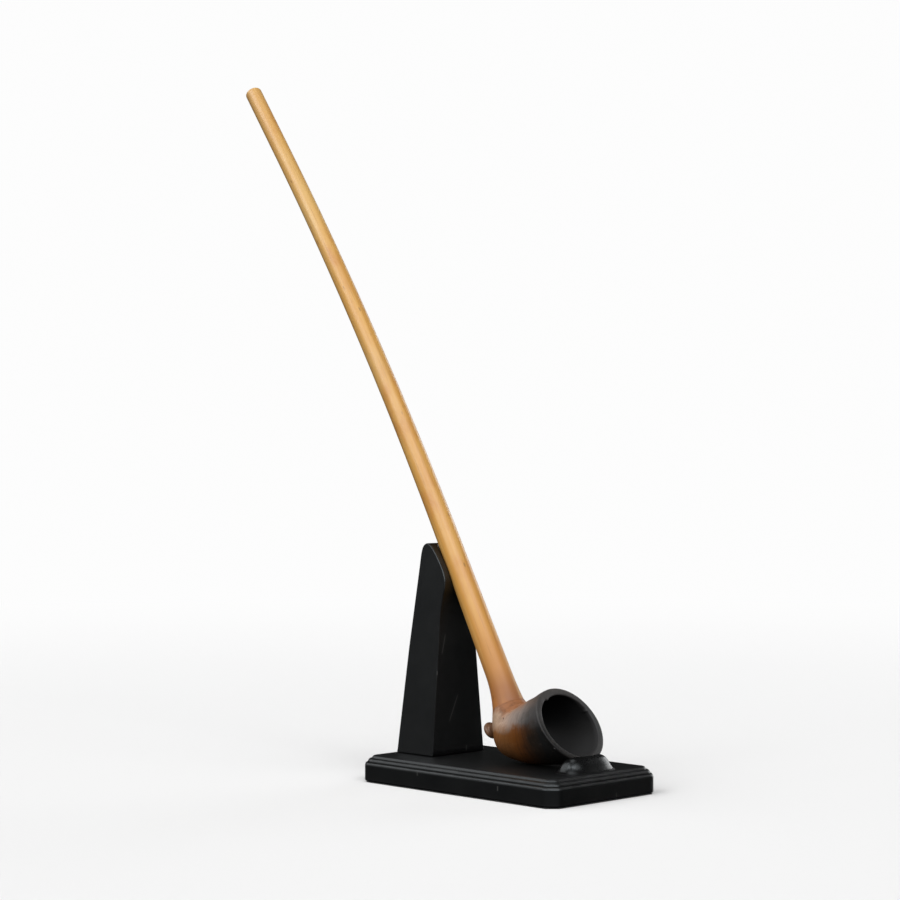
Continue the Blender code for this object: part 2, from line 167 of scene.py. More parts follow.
PLAN_STEP = 2.4 * MM  # spacing of points along the plinth's edges
ROUND_STEPS = 4
HALF_ANGLE = math.radians(22.5)  # half of the outline's turn at each of its eight corners
EASE_LIMIT = 0.42  # share of a clipped corner's own edge that one eased angle may take


def plan_clip(inset):
    """How much of each side the clipped corners take, where the outline is moved inwards."""
    return CORNER_CLIP - (2.0 - math.sqrt(2.0)) * inset


def plan_corners(inset):
    """The outline's eight corners as (x, y), moved inwards by inset."""
    x = BASE_HIGH[0] - inset
    y = BASE_HIGH[1] - inset
    clip = plan_clip(inset)
    quarter = [(x, y - clip), (x - clip, y)]
    corners = quarter + [(-px, py) for px, py in reversed(quarter)]
    corners += [(-px, -py) for px, py in quarter] + [(px, -py) for px, py in reversed(quarter)]
    return corners


def count_pieces():
    """How many pieces each side of the outline is cut into, the same on every ring."""
    corners = [Vector(corner) for corner in plan_corners(0.0)]
    sides = zip(corners, corners[1:] + corners[:1])
    return [max(1, round((end - start).length / PLAN_STEP)) for start, end in sides]


SIDE_PIECES = count_pieces()


def plan_ring(inset, height):
    """The plinth's outline moved inwards by inset: clipped corners, each angle eased."""
    corners = [Vector((*corner, height)) for corner in plan_corners(inset)]
    clip_edge = math.sqrt(2.0) * plan_clip(inset)
    ease = min(CORNER_ROUND * math.tan(HALF_ANGLE), EASE_LIMIT * clip_edge)
    ring = []
    for index, here in enumerate(corners):
        before = corners[index - 1]
        after = corners[(index + 1) % len(corners)]
        back = (before - here).normalized()
        onward = (after - here).normalized()
        for step in range(ROUND_STEPS + 1):
            t = step / ROUND_STEPS
            ring.append(here + ease * (back * (1.0 - t) ** 2 + onward * t**2))
        eased = ease / (after - here).length
        for step in range(1, SIDE_PIECES[index]):
            t = eased + step / SIDE_PIECES[index] * (1.0 - 2.0 * eased)
            ring.append(here + t * (after - here))
    return ring


# Side profiles: distance in from the plinth's edge and height above the board's underside,
# in millimetres, and how much the spot is worn, from 0 to 1; that number also paints the
# rounded ridges paler, a painted highlight. The moulding starts just under its board, inside
# the slab's rounded edge.
SLAB_PROFILE = [
    (0.9, 0.0, 0.0),
    (0.3, 0.15, 0.3),
    (0.0, 0.7, 0.0),
    (0.0, 1.2, 0.0),
    (0.0, 4.6, 0.0),
    (0.0, 8.2, 0.0),
    (0.04, 8.75, 0.1),
    (0.18, 9.2, 0.4),
    (0.45, 9.6, 0.6),
    (0.82, 9.88, 0.5),
    (1.25, 10.03, 0.2),
    (1.8, 10.08, 0.0),
]
MOULDING_PROFILE = [
    (2.3, -0.27, 0.0),
    (1.6, -0.25, 0.0),
    (1.55, 0.0, 0.0),
    (1.64, 0.35, 0.1),
    (1.83, 0.72, 0.3),
    (2.1, 1.08, 0.6),
    (2.5, 1.4, 0.6),
    (3.0, 1.64, 0.3),
    (3.45, 1.8, 0.0),
    (3.77, 2.0, 0.0),
    (3.95, 2.3, 0.1),
    (4.15, 2.6, 0.3),
    (4.42, 2.88, 0.5),
    (4.78, 3.1, 0.6),
    (5.2, 3.24, 0.3),
    (5.8, 3.3, 0.0),
    (6.8, 3.3, 0.0),
]
PROFILE_STEPS = 4
PLAN_DENT = 0.05 * MM
DENT_SCALE = 5.0 * MM
WAVE_SCALE = 30.0 * MM


def board(name, profile, underside, replaced):
    """A plinth board from its side profile, closed flat above and below."""
    rings = []
    wear = []
    for inset, height, worn_and_sheen in smooth_sections(profile, PROFILE_STEPS):
        ring = []
        for point in plan_ring(inset * MM, underside + height * MM):
            dent = wobble(point, DENT_SCALE, PLAN_DENT, 3.0) * worn_and_sheen
            dent += wobble(point, WAVE_SCALE, PLAN_DENT, 8.0) * min(1.0, worn_and_sheen + 0.5)
            inward = Vector((-point.x, -point.y, 0.0)).normalized()
            ring.append(point + inward * max(0.0, dent + PLAN_DENT * 0.6))
        rings.append(ring)
        wear.append([float(worn_and_sheen)] * len(ring))
    return skin(name, rings, "stand", "black_lacquer", replaced, wear=wear)


def make_plinth():
    """The slab that stands on the felt and the moulding on top of it."""
    slab = board("plinth_slab", SLAB_PROFILE, BASE_LOW[2], ["plinth_base"])
    moulding = board("plinth_moulding", MOULDING_PROFILE, TOP_LOW[2], ["plinth_top"])
    return [slab, moulding]


# --- Post -------------------------------------------------

# Side outline, x and z in millimetres: up the back, over the head, and down the front.
POST_BACK = [(-65.3, 14.8), (-61.2, 72.4), (-57.0, 116.8)]
POST_HEAD = [
    (-56.2, 125.4),
    (-54.9, 129.2),
    (-52.3, 130.7),
    (-49.4, 129.6),
    (-46.0, 126.5),
    (-41.6, 121.0),
    (-38.3, 116.0),
    (-36.3, 111.0),
    (-36.1, 106.0),
]
POST_SCOOP = [(-36.9, 101.0), (-37.8, 95.0), (-38.2, 87.0), (-37.8, 76.0)]
POST_FRONT = (-36.9, 14.8)
POST_SIDE_LEAN = 0.09
POST_SINK = 0.1 * MM
POST_EDGE_ROUND = 0.55 * MM
POST_FLAT_INSET = 1.1 * MM  # a ring on the flat sides that keeps their shading flat
EAR_FOOT = 100.0 * MM  # height under which the post's edges aren't worn
EAR_FADE = 8.0 * MM
LOW_EDGE_WEAR = 0.08
POST_COLUMNS = 56
OUTLINE_SPACING = 3.0 * MM
HEAD_STEPS = 8
GROOVE_RADIUS = 6.95 * MM
GROOVE_LIP = 0.5 * MM
LIP_SLOPE = 3.0  # how steeply the groove's surface falls away beside its lips
GROOVE_FOOT = 80.0 * MM
GROOVE_BACK = -60.0 * MM


def straight_points(start, end):
    """Evenly spaced points from start up to, and without, end."""
    steps = max(1, round((end - start).length / OUTLINE_SPACING))
    return [start.lerp(end, step / steps) for step in range(steps)]


def post_outline():
    """The post's side outline as (x, z) points, from the foot's back over the head."""
    head = smooth_sections([POST_BACK[-1], *POST_HEAD, *POST_SCOOP], HEAD_STEPS)
    curve = [row * MM for row in head]
    foot_back, waist = [Vector(row) * MM for row in POST_BACK[:2]]
    foot_front = Vector(POST_FRONT) * MM
    outline = straight_points(foot_back, waist) + straight_points(waist, curve[0])
    outline += curve + straight_points(curve[-1], foot_front)[1:]
    return outline + straight_points(foot_front, foot_back)


def inset_outline(outline, amount):
    """Each point moved inwards along the outline's mean normal."""
    made = []
    for index, here in enumerate(outline):
        before = outline[index - 1]
        after = outline[(index + 1) % len(outline)]
        along = (after - before).normalized()
        made.append(here + Vector((along.y, -along.x)) * amount)
    return made


def smooth_min(first, second, width):
    """The smaller of two numbers, with the corner between them rounded over width."""
    blend = max(0.0, width - abs(first - second)) / width
    return min(first, second) - blend * blend * width / 4.0


def in_groove(point):
    """point lowered into the groove that the stem leans in, along the groove's own depth."""
    depth_way = Vector((FOOT_AXIS.z, 0.0, -FOOT_AXIS.x))
    height = (point - JOINT_CENTRE).dot(depth_way)
    inside = GROOVE_RADIUS**2 - point.y**2
    floor = -math.sqrt(inside) if inside > 0.0 else math.sqrt(-inside) * LIP_SLOPE
    return point + depth_way * (smooth_min(height, floor, GROOVE_LIP) - height)


def post_rows():
    """Rows across the post: side from 1 to -1, inset of the outline, and step back in Y."""
    steps = 2 * ROUND_STEPS
    edge = [(POST_FLAT_INSET, 0.0)]
    for step in range(steps + 1):
        angle = 0.5 * math.pi * step / steps
        edge.append((POST_EDGE_ROUND * (1.0 - math.sin(angle)), 1.0 - math.cos(angle)))
    middle = [1.0 - 2.0 * step / POST_COLUMNS for step in range(1, POST_COLUMNS)]
    rows = [(1.0, inset, back * POST_EDGE_ROUND) for inset, back in edge]
    rows += [(across, 0.0, POST_EDGE_ROUND) for across in middle]
    return rows + [(-1.0, inset, back * POST_EDGE_ROUND) for inset, back in reversed(edge)]


def post_wear(edge, height, lowered):
    """Wear on an edge, mostly at the head, or on the groove's lip, where it is lowered a little."""
    high = min(1.0, max(LOW_EDGE_WEAR, (height - EAR_FOOT) / EAR_FADE))
    lip = peak(lowered, 0.3 * GROOVE_LIP, GROOVE_LIP / 3.0)
    return float(max(edge * high, 0.7 * lip))


def make_post():
    """The post as rings, each the side outline at one place across it."""
    outline = post_outline()
    foot = POST_LOW[2]
    rings = []
    wear = []
    for across, inset, back in post_rows():
        edge = peak(inset, 0.3 * POST_EDGE_ROUND, 0.6 * POST_EDGE_ROUND)
        if abs(across) < 1.0:
            edge = 0.0
        ring = []
        worn_and_sheen = []
        for x, z in inset_outline(outline, inset):
            half = POST_HIGH[1] - POST_SIDE_LEAN * (z - foot)
            point = Vector((x, across * (half - back), max(z, foot - POST_SINK)))
            lowered = in_groove(point) if z > GROOVE_FOOT and x > GROOVE_BACK else point
            ring.append(lowered)
            worn_and_sheen.append(post_wear(edge, z, (point - lowered).length))
        rings.append(ring)
        wear.append(worn_and_sheen)
    return skin("post_body", rings, "stand", "black_lacquer", ["post"], wear=wear)


# --- Stem -------------------------------------------------

STEM_LENGTH = 417.0 * MM
STEM_BEND_START = 88.0 * MM
STEM_BEND_END = 372.0 * MM
STEM_BEND_RATE = 24.7  # degrees of lean gained per metre
STEM_FOOT_DIAMETER = 14.6 * MM
STEM_TIP_DIAMETER = 9.9 * MM
STEM_TAPER_SAG = 3.9 * MM
FOOT_FLARE = 1.75 * MM
FOOT_FLARE_LENGTH = 20.0 * MM
FOOT_OFFSET = 1.6 * MM
STEM_TIP_ROUND = 2.0 * MM
# The hand-worked surface, in shares of the radius: wood planed off all round, then slow
# swellings, dimples, and facets that wander round the stem.
STEM_PLANED = 0.006
STEM_SWELL = 0.0072
STEM_DIMPLE = 0.0036
STEM_FACET = 0.003
STEM_FACETS = 7.0
HAND_SCALE = 60.0 * MM
STEM_SIDES = 72
STEM_SPACING = 1.5 * MM
FOOT_SPACING = 0.4 * MM
FOOT_ROWS = 20
TIP_STEPS = 10
TIP_SHRINK = 0.36  # share of the tip's radius that its rounding takes
AIRWAY_RADIUS = 1.75 * MM
AIRWAY_SPACING = 12.0 * MM
# Rows at the airway's mouth: depth from the tip and how much wider it is, in millimetres.
AIRWAY_MOUTH = [(0.02, 0.5), (0.5, 0.0), (3.0, 0.0)]
SOCKET_RADIUS = 3.9 * MM
SOCKET_DEPTH = 10.0 * MM
AIRWAY_END = SOCKET_DEPTH + 10.0 * MM
GRAIN_RADIUS = 6.0 * MM
SEAM = 0.02 * MM  # gap between the stem's foot and the bowl


def stem_centre(distance):
    """Point (x, z) and lean of the stem's centreline, distance along it from the joint."""
    lean = start = math.radians(FOOT_LEAN)
    straight = min(distance, STEM_BEND_START)
    x = JOINT_CENTRE.x - straight * math.sin(lean)
    z = JOINT_CENTRE.z + straight * math.cos(lean)
    if distance > STEM_BEND_START:
        rate = math.radians(STEM_BEND_RATE)
        bend_end = min(distance, STEM_BEND_END)
        lean = start + rate * (bend_end - STEM_BEND_START)
        x -= (math.cos(start) - math.cos(lean)) / rate
        z += (math.sin(lean) - math.sin(start)) / rate
        x -= (distance - bend_end) * math.sin(lean)
        z += (distance - bend_end) * math.cos(lean)
    return x, z, math.degrees(lean)


def stem_radius(distance):
    """Radius of the stem: a sagging taper, a flare at the foot and an eased tip."""
    along = distance / STEM_LENGTH
    drop = STEM_FOOT_DIAMETER - STEM_TIP_DIAMETER
    diameter = STEM_FOOT_DIAMETER - drop * along - STEM_TAPER_SAG * along * (1.0 - along)
    flare = FOOT_FLARE * max(0.0, 1.0 - distance / FOOT_FLARE_LENGTH) ** 2
    into_tip = max(0.0, 1.0 - (STEM_LENGTH - distance) / STEM_TIP_ROUND)
    tip = 1.0 - TIP_SHRINK * (1.0 - math.sqrt(1.0 - into_tip**2))
    return diameter / 2.0 * tip + flare


def stem_ring(distance, radius, hand_worked):
    """A ring of the stem, distance along it, with slight swellings and facets if hand worked."""
    x, z, lean = stem_centre(distance)
    x -= FOOT_OFFSET * max(0.0, 1.0 - distance / FOOT_FLARE_LENGTH) ** 2
    ring = section_ring(x, z, radius, lean + 90.0, STEM_SIDES)
    if not hand_worked:
        return ring
    made = []
    centre = Vector((x, 0.0, z))
    for side, point in enumerate(ring):
        angle = 2.0 * math.pi * side / STEM_SIDES
        place = Vector((math.cos(angle) * 0.6, math.sin(angle) * 0.6, distance / HAND_SCALE))
        facet = STEM_FACET * math.cos(STEM_FACETS * angle + 2.0 * noise.noise(place * 0.4))
        swell = STEM_SWELL * noise.noise(place * 1.3) + STEM_DIMPLE * noise.noise(place * 4.0)
        made.append(centre + (point - centre) * (1.0 - STEM_PLANED + swell + facet))
    return made


def stem_outside():
    """Distances of the stem's outer rings from the joint: close at the foot and on the tip."""
    rows = [SEAM, *(step * FOOT_SPACING for step in range(1, FOOT_ROWS + 1))]
    while rows[-1] < STEM_LENGTH - STEM_TIP_ROUND - STEM_SPACING:
        rows.append(rows[-1] + STEM_SPACING)
    for step in range(TIP_STEPS + 1):
        turn = 0.5 * math.pi * step / TIP_STEPS
        rows.append(STEM_LENGTH - STEM_TIP_ROUND * (1.0 - math.sin(turn)))
    return rows


def stem_inside():
    """Distance and radius of the inner rings, from the mouth end down to the tenon's socket."""
    rows = [(STEM_LENGTH - depth * MM, AIRWAY_RADIUS + more * MM) for depth, more in AIRWAY_MOUTH]
    distance = STEM_LENGTH - AIRWAY_SPACING
    while distance > AIRWAY_END:
        rows.append((distance, AIRWAY_RADIUS))
        distance -= AIRWAY_SPACING
    rows += [(SOCKET_DEPTH, AIRWAY_RADIUS), (SOCKET_DEPTH, SOCKET_RADIUS)]
    return rows + [(0.6 * MM, SOCKET_RADIUS), (SEAM, SOCKET_RADIUS + 0.4 * MM)]


def grain_row(distance):
    """Where a ring lies in the straight piece of wood that the stem was bent from."""
    row = []
    for side in range(STEM_SIDES):
        angle = 2.0 * math.pi * side / STEM_SIDES
        row.append((math.cos(angle) * GRAIN_RADIUS, math.sin(angle) * GRAIN_RADIUS, distance))
    return row


def make_stem():
    """The stem as one closed tube: its outside, and the airway back through it."""
    outside = stem_outside()
    inside = stem_inside()
    rings = [stem_ring(distance, stem_radius(distance), True) for distance in outside]
    rings += [stem_ring(distance, radius, False) for distance, radius in inside]
    grain = [grain_row(distance) for distance in [*outside, *(row[0] for row in inside)]]
    stem = skin("stem_tube", rings, "stem", "stem_wood", ["stem"], loop=True, grain=grain)
    keep_sharp(stem, 50.0)
    return stem


# --- Bowl and knob ----------------------------------------

# Round sections: x, z and radius in millimetres, and heading in degrees above +X.
BOWL_SECTIONS = [
    (1.3, 44.4, 9.05, FOOT_LEAN - 90.0),
    (4.4, 36.6, 12.4, -45.0),
    (8.6, 32.2, 15.4, -25.0),
    (17.6, 31.8, 17.0, -5.0),
    (30.7, 33.7, 18.8, 15.0),
    (46.2, 37.4, 22.2, 34.5),
]
CHAMBER_SECTIONS = [
    (46.2, 37.4, 18.7, 34.5),
    (38.0, 35.3, 16.7, 23.0),
    (29.0, 33.2, 14.8, 12.0),
    (21.0, 32.1, 11.8, 3.0),
    (16.3, 31.7, 8.0, -3.0),
    (13.8, 31.5, 2.5, -6.0),
]
BOWL_SIDES = 144
BOWL_STEPS = 14
CHAMBER_STEPS = 12
LIP_ROUND = 0.7 * MM
LIP_STEPS = 5
LIP_UNEVENNESS = 0.10 * MM
BOWL_UNEVENNESS = 0.18 * MM
FACE_RADIUS = 8.2 * MM
MORTISE_RADIUS = 3.9 * MM
MORTISE_DEPTH = 8.5 * MM
CARVING_SCALE = 11.0 * MM
NICK_SCALE = 4.0 * MM
CARVING_SEED = 5.0


def carved(ring, amount, seed):
    """A ring with the slight unevenness of hand work."""
    centre = sum(ring, Vector()) / len(ring)
    made = []
    for point in ring:
        push = wobble(point, CARVING_SCALE, amount, seed)
        push += wobble(point, NICK_SCALE, amount / 3.0, seed)
        made.append(point + (point - centre).normalized() * push)
    return made


def lip_ring(radius, forward):
    """A ring of the given radius, forward of the bowl's last section."""
    x, z, _, heading = BOWL_SECTIONS[-1]
    turn = math.radians(heading)
    shift = Vector((math.cos(turn), 0.0, math.sin(turn))) * forward
    return [point + shift for point in section_ring(x * MM, z * MM, radius, heading, BOWL_SIDES)]


# How far the carver left the mouth's inner edge standing in: angle round the rim in degrees
# from its top towards +Y, and millimetres inwards. A hook, a low stretch and a small burr.
MOUTH_TRIM = [
    (-180.0, 0.05),
    (-120.0, 0.0),
    (-60.0, 0.05),
    (-36.0, 0.15),
    (-29.5, 0.50),
    (-26.5, 1.75),
    (-24.0, 1.15),
    (-15.0, 0.80),
    (0.0, 0.65),
    (25.0, 0.30),
    (50.0, 0.0),
    (65.0, 0.0),
    (67.5, 0.6),
    (70.0, 0.0),
    (120.0, 0.1),
    (180.0, 0.05),
]
TRIM_ROWS = 7  # rings of the chamber over which the trim fades


def mouth_trim(side):
    """How far the mouth's edge stands in at one of the ring's points, in metres."""
    angle = 360.0 * side / BOWL_SIDES
    if angle > 180.0:
        angle -= 360.0
    for (start, low), (end, high) in zip(MOUTH_TRIM, MOUTH_TRIM[1:]):
        if start <= angle <= end:
            return (low + (high - low) * (angle - start) / (end - start)) * MM
    return 0.0


def trimmed(ring, share):
    """A ring with the mouth's unevenness, a share of it between 0 and 1."""
    centre = sum(ring, Vector()) / len(ring)
    made = []
    for side, point in enumerate(ring):
        made.append(point - (point - centre).normalized() * mouth_trim(side) * share)
    return made


def bowl_ring(section):
    """The ring of a section whose numbers are millimetres and degrees."""
    x, z, radius, heading = section
    return section_ring(x * MM, z * MM, radius * MM, heading, BOWL_SIDES)


def joint_rows():
    """The mortise and the face that the stem meets. Rows: ring, place, unevenness and soot."""
    x, z, _, heading = BOWL_SECTIONS[0]
    rows = []
    for depth in (MORTISE_DEPTH, 0.3 * MM):
        centre = JOINT_CENTRE - FOOT_AXIS * depth
        ring = section_ring(centre.x, centre.z, MORTISE_RADIUS, heading, BOWL_SIDES)
        rows.append((ring, 0.0, 0.0, 1.0))
    rows.append((section_ring(x * MM, z * MM, FACE_RADIUS, heading, BOWL_SIDES), 0.0, 0.0, 0.0))
    return rows


def outside_rows():
    """The outside from the joint, at place 0, to the rim, at place 1."""
    sections = smooth_sections(BOWL_SECTIONS, BOWL_STEPS)
    rows = []
    for index, section in enumerate(sections):
        place = index / (len(sections) - 1)
        calm = min(1.0, 6.0 * place, 8.0 * (1.0 - place) + 0.3)
        rows.append((bowl_ring(section), place, BOWL_UNEVENNESS * calm, 0.0))
    return rows


def lip_rows():
    """The rim, rounded outwards and then inwards over its top, where it takes the trim."""
    outer = BOWL_SECTIONS[-1][2] * MM
    inner = CHAMBER_SECTIONS[0][2] * MM
    rows = []
    for step in range(1, LIP_STEPS + 1):
        turn = 0.5 * math.pi * step / LIP_STEPS
        ring = lip_ring(outer - LIP_ROUND * (1.0 - math.cos(turn)), LIP_ROUND * math.sin(turn))
        rows.append((ring, 1.0, LIP_UNEVENNESS, 0.0))
    for step in range(LIP_STEPS + 1):
        turn = 0.5 * math.pi * step / LIP_STEPS
        ring = lip_ring(inner + LIP_ROUND * (1.0 - math.sin(turn)), LIP_ROUND * math.cos(turn))
        rows.append((trimmed(ring, 1.0), 1.0, LIP_UNEVENNESS, 0.6 * step / LIP_STEPS))
    return rows


def chamber_rows():
    """The chamber, down from the rim to its floor, with the soot thickening."""
    rows = []
    for index, section in enumerate(smooth_sections(CHAMBER_SECTIONS, CHAMBER_STEPS)[1:]):
        ring = trimmed(bowl_ring(section), max(0.0, 1.0 - (index + 1) / TRIM_ROWS))
        unevenness = BOWL_UNEVENNESS * min(1.0, 0.5 + index / 8.0)
        rows.append((ring, 1.0, unevenness, min(1.0, 0.7 + index / 6.0)))
    return rows


def make_bowl():
    """The bowl as one skin: mortise, joint face, outside, lip and chamber."""
    rings = []
    along = []
    soot = []
    rows = joint_rows() + outside_rows() + lip_rows() + chamber_rows()
    for ring, place, unevenness, smoked in rows:
        rings.append(carved(ring, unevenness, CARVING_SEED + smoked) if unevenness else ring)
        along.append([float(place)] * BOWL_SIDES)
        soot.append([float(smoked)] * BOWL_SIDES)
    bowl = skin("bowl_body", rings, "bowl", "bowl_wood", ["bowl"], along=along, soot=soot)
    keep_sharp(bowl, 60.0)
    return bowl


KNOB_FOOT = Vector((-5.9 * MM, 0.0, 33.2 * MM))
KNOB_DIP = 32.0  # degrees below the horizontal, towards -X
KNOB_SIDES = 48
KNOB_STEPS = 4
KNOB_UNEVENNESS = 0.05 * MM
KNOB_SEED = 9.0
# Turned outline: distance out from the heel and radius, in millimetres.
KNOB_PROFILE = [
    (-1.2, 4.2),
    (-0.2, 3.9),
    (0.8, 3.5),
    (2.4, 3.2),
    (4.4, 3.15),
    (5.0, 3.5),
    (5.5, 4.3),
    (6.1, 4.7),
    (6.9, 4.75),
    (7.6, 4.4),
    (8.3, 3.4),
    (8.7, 2.1),
    (8.88, 0.6),
]


def make_knob():
    """The small turned knob at the back of the heel."""
    dip = math.radians(KNOB_DIP)
    outward = Vector((-math.cos(dip), 0.0, -math.sin(dip)))
    rings = []
    for distance, radius in smooth_sections(KNOB_PROFILE, KNOB_STEPS):
        centre = KNOB_FOOT + outward * distance * MM
        ring = section_ring(centre.x, centre.z, radius * MM, KNOB_DIP + 180.0, KNOB_SIDES)
        rings.append(carved(ring, KNOB_UNEVENNESS, KNOB_SEED))
    return skin("knob_turned", rings, "bowl", "knob_wood", ["heel_knob"])


# --- Cradle -----------------------------------------------

# Levels: height, half length in X and half width in Y, in millimetres.
CRADLE_LEVELS = [
    (0.0, 9.6, 19.2),
    (0.3, 9.2, 18.7),
    (1.0, 8.4, 17.7),
    (2.5, 7.4, 16.4),
    (4.5, 6.4, 15.2),
    (6.2, 5.2, 13.9),
    (7.4, 3.6, 12.2),
    (8.0, 1.7, 9.8),
    (8.1, 0.2, 4.0),
]
CRADLE_SIDES = 120
CRADLE_STEPS = 5
CRADLE_SQUARENESS = 0.72  # 1 is an ellipse, and less than 1 is squarer
SEAT_GAP = 0.12 * MM
SEAT_EDGE = 0.8 * MM


def squared(value):
    """A sine or cosine, pushed outwards to square an ellipse's corners."""
    return math.copysign(abs(value) ** CRADLE_SQUARENESS, value)


def make_cradle(bowl):
    """A low saddle whose top is pressed down to the underside of the bowl."""
    under = BVHTree.FromObject(bowl, bpy.context.evaluated_depsgraph_get())
    middle = (CRADLE_LOW[0] + CRADLE_HIGH[0]) / 2.0
    rings = []
    for height, half_x, half_y in smooth_sections(CRADLE_LEVELS, CRADLE_STEPS):
        ring = []
        for side in range(CRADLE_SIDES):
            angle = 2.0 * math.pi * side / CRADLE_SIDES
            x = middle + half_x * MM * squared(math.cos(angle))
            y = half_y * MM * squared(math.sin(angle))
            z = TOP_HIGH[2] + height * MM
            found = under.ray_cast(Vector((x, y, 0.0)), Vector((0.0, 0.0, 1.0)))[0]
            if found:
                z = smooth_min(z, found.z - SEAT_GAP, SEAT_EDGE)
            ring.append(Vector((x, y, max(z, TOP_HIGH[2]))))
        rings.append(ring)
    return skin("cradle_saddle", rings, "stand", "black_lacquer", ["cradle"])


# --- Materials --------------------------------------------


class Finish:
    """A Principled material, with short names for the nodes that feed it."""

    def __init__(self, name):
        self.material = bpy.data.materials.new(name)
        self.material.use_nodes = True
        self.tree = self.material.node_tree
        self.shader = self.tree.nodes["Principled BSDF"]
        self.place = self.node("ShaderNodeTexCoord").outputs["Object"]

    def node(self, kind, **settings):
        made = self.tree.nodes.new(kind)
        for key, value in settings.items():
            setattr(made, key, value)
        return made

    def join(self, value, socket):
        if isinstance(value, bpy.types.NodeSocket):
            self.tree.links.new(value, socket)
        elif isinstance(value, (tuple, list)) and len(value) == 3 and socket.type == "RGBA":
            socket.default_value = (*value, 1.0)
        else:
            socket.default_value = value

    def field(self, name, vector=False):
        made = self.node("ShaderNodeAttribute", attribute_name=name)
        return made.outputs["Vector" if vector else "Fac"]

    def math(self, operation, first, second=0.0):
        made = self.node("ShaderNodeMath", operation=operation)
        self.join(first, made.inputs[0])
        self.join(second, made.inputs[1])
        return made.outputs[0]

    def times(self, first, second):
        return self.math("MULTIPLY", first, second)

    def plus(self, first, second):
        return self.math("ADD", first, second)

    def minus(self, first, second):
        return self.math("SUBTRACT", first, second)

    def stretch(self, place, scale):
        made = self.node("ShaderNodeVectorMath", operation="MULTIPLY")
        self.join(place, made.inputs[0])
        self.join(Vector(scale), made.inputs[1])
        return made.outputs[0]

    def noise(self, place, scale, detail=3.0, rough=0.55, distortion=0.0):
        made = self.node("ShaderNodeTexNoise")
        self.join(place, made.inputs["Vector"])
        for key, value in (("Scale", scale), ("Detail", detail), ("Roughness", rough)):
            made.inputs[key].default_value = value
        made.inputs["Distortion"].default_value = distortion
        return made.outputs["Fac"]

    def remap(self, value, low, high, to_low=0.0, to_high=1.0, kind="SMOOTHSTEP"):
        made = self.node("ShaderNodeMapRange", interpolation_type=kind)
        self.join(value, made.inputs["Value"])
        names = ("From Min", "From Max", "To Min", "To Max")
        for key, number in zip(names, (low, high, to_low, to_high)):
            made.inputs[key].default_value = number
        return made.outputs["Result"]

    def blend(self, factor, first, second, kind="MIX"):
        made = self.node("ShaderNodeMix", data_type="RGBA", blend_type=kind)
        self.join(factor, made.inputs[0])
        self.join(first, made.inputs[6])
        self.join(second, made.inputs[7])
        return made.outputs[2]

    def ramp(self, value, stops):
        made = self.node("ShaderNodeValToRGB")
        self.join(value, made.inputs["Fac"])
        points = made.color_ramp.elements
        while len(points) < len(stops):
            points.new(1.0)
        for point, (position, colour) in zip(points, stops):
            point.position = position
            point.color = (*colour, 1.0)
        return made.outputs["Color"]

    def separate(self, vector):
        made = self.node("ShaderNodeSeparateXYZ")
        self.join(vector, made.inputs[0])
        return made.outputs

    def bump(self, height, distance, strength):
        made = self.node("ShaderNodeBump")
        self.join(height, made.inputs["Height"])
        made.inputs["Distance"].default_value = distance
        made.inputs["Strength"].default_value = strength
        self.join(made.outputs["Normal"], self.shader.inputs["Normal"])

    def set(self, **values):
        for key, value in values.items():
            label = key.replace("_", " ").title().replace("Ior", "IOR")
            self.join(value, self.shader.inputs[label])


def scratch(finish, start, end, width):
    """1 on a thin straight scratch between two points on the surface, fading to 0 beside it."""
    length = (end - start).length
    way = (end - start) / length
    off = finish.node("ShaderNodeVectorMath", operation="SUBTRACT")
    finish.join(finish.place, off.inputs[0])
    finish.join(start, off.inputs[1])
    along = finish.node("ShaderNodeVectorMath", operation="DOT_PRODUCT")
    finish.join(off.outputs[0], along.inputs[0])
    finish.join(way, along.inputs[1])
    size = finish.node("ShaderNodeVectorMath", operation="LENGTH")
    finish.join(off.outputs[0], size.inputs[0])
    total = finish.times(size.outputs["Value"], size.outputs["Value"])
    share = finish.times(along.outputs["Value"], along.outputs["Value"])
    beside = finish.math("SQRT", finish.math("MAXIMUM", finish.minus(total, share)))
    near = finish.remap(beside, width * 0.4, width, 1.0, 0.0)
    begun = finish.remap(along.outputs["Value"], 0.0, length * 0.15)
    ended = finish.remap(along.outputs["Value"], length * 0.85, length, 1.0, 0.0)
    return finish.times(near, finish.times(begun, ended))


# Scratches and nicks: start, end and width, in millimetres.
POST_SCRATCHES = [
    ((-38.0, -8.9, 81.7), (-37.65, -12.1, 69.7), 0.35),
    ((-37.37, 0.4, 48.2), (-37.14, -7.2, 32.1), 0.35),
    ((-36.96, 6.3, 19.2), (-36.9, 6.1, 15.6), 0.45),
    ((-37.55, -15.7, 61.5), (-37.5, -15.8, 59.0), 0.5),
]
SLAB_NICKS = [
    ((-26.0, -42.1, 9.8), (-25.8, -42.1, 7.6), 0.45),
    ((34.2, -42.1, 8.6), (34.1, -42.1, 5.6), 0.5),
    ((73.0, 6.4, 4.2), (73.0, 6.9, 1.6), 0.4),
    ((-73.0, 12.0, 9.0), (-73.0, 11.0, 6.0), 0.4),
]


LACQUER_ROUGHNESS = 0.25


def lacquer_top_sheen(finish, cloud):
    """A painted sheen on the plinth's top, paler along its front, for the light it reflects there.
    """
    _, y, z = finish.separate(finish.place)
    top = finish.remap(z, TOP_HIGH[2] - 1.5 * MM, TOP_HIGH[2] - 0.1 * MM)
    front = finish.remap(y, -0.036, -0.018, 1.0, 0.0)
    patchy = finish.remap(cloud, 0.2, 0.7, 0.6, 1.0)
    return finish.times(finish.times(top, front), patchy)


